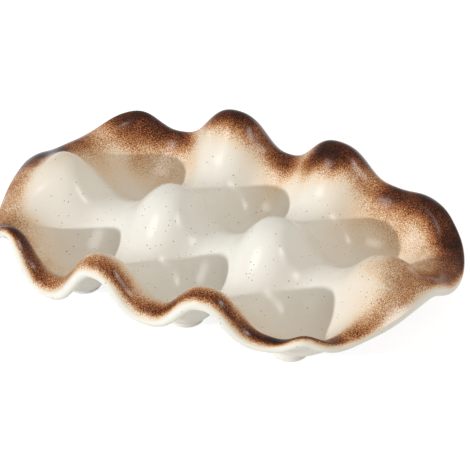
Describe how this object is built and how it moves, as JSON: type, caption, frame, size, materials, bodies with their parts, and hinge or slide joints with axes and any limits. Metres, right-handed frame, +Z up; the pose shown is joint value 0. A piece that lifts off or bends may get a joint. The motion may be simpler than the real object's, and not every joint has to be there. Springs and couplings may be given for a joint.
{
  "type": "egg tray",
  "caption": "Wavy glazed stoneware tray with two rows of hollows that hold eggs, a rolled rim sprayed dark, and flat feet to stand on a table.",
  "frame": {"origin": "on the plane that the feet stand on, at the middle of the tray in plan", "axes": "+X along the long side to the right as seen from the front, +Y from the front to the back, +Z up"},
  "size_m": [0.2314, 0.1553, 0.0488],
  "materials": {
    "stoneware": "fired, unglazed, fine matt grain",
    "cream_glaze": "semi-gloss cream glaze with sparse dark specks",
    "brown_glaze": "semi-gloss brown glaze, sprayed so that it fades through chestnut and tan into the cream"
  },
  "bodies": {
    "root": {"stoneware_body": "stoneware", "cream_glaze": "cream_glaze", "brown_rim_glaze": "brown_glaze"}
  },
  "joints": []
}
